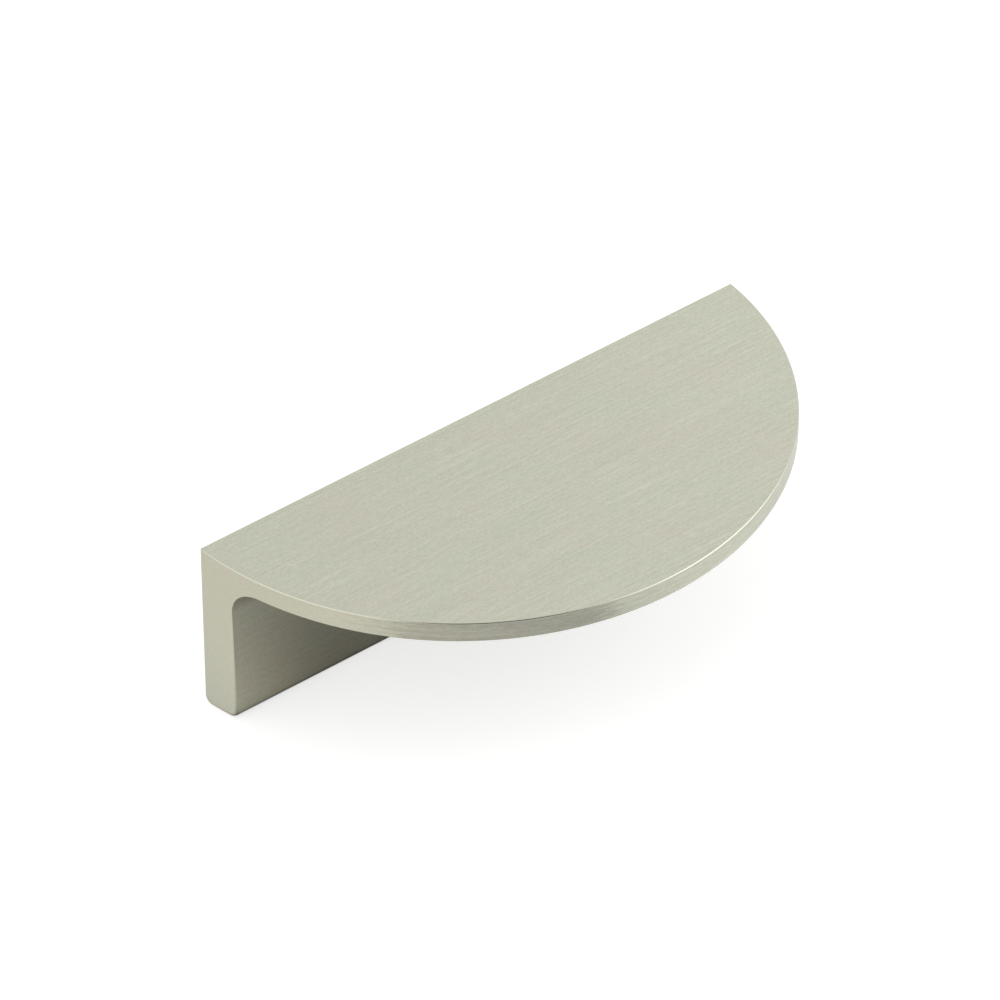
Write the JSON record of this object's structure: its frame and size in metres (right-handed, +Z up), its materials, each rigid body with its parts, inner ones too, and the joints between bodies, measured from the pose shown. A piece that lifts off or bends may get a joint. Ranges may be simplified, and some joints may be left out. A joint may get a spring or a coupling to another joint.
{
  "type": "edge pull",
  "caption": "Half-moon edge pull in satin nickel: a thin flat plate with a round front edge over a thick flange along its straight rear edge, screwed on from behind.",
  "frame": {"origin": "centre of the flange's flat back face, halfway between its two screw holes", "axes": "+X along the straight rear edge, +Y out of the back face into the drawer or door front, +Z up to the plate's top face; the plate reaches out to -Y"},
  "size_m": [0.1, 0.0478, 0.0292],
  "materials": {
    "satin_nickel": "satin nickel plating, finely brushed along the length on the top, the underside and the flange, and round the arc on its edge"
  },
  "bodies": {
    "root": {"pull_body": "satin_nickel"}
  },
  "joints": []
}
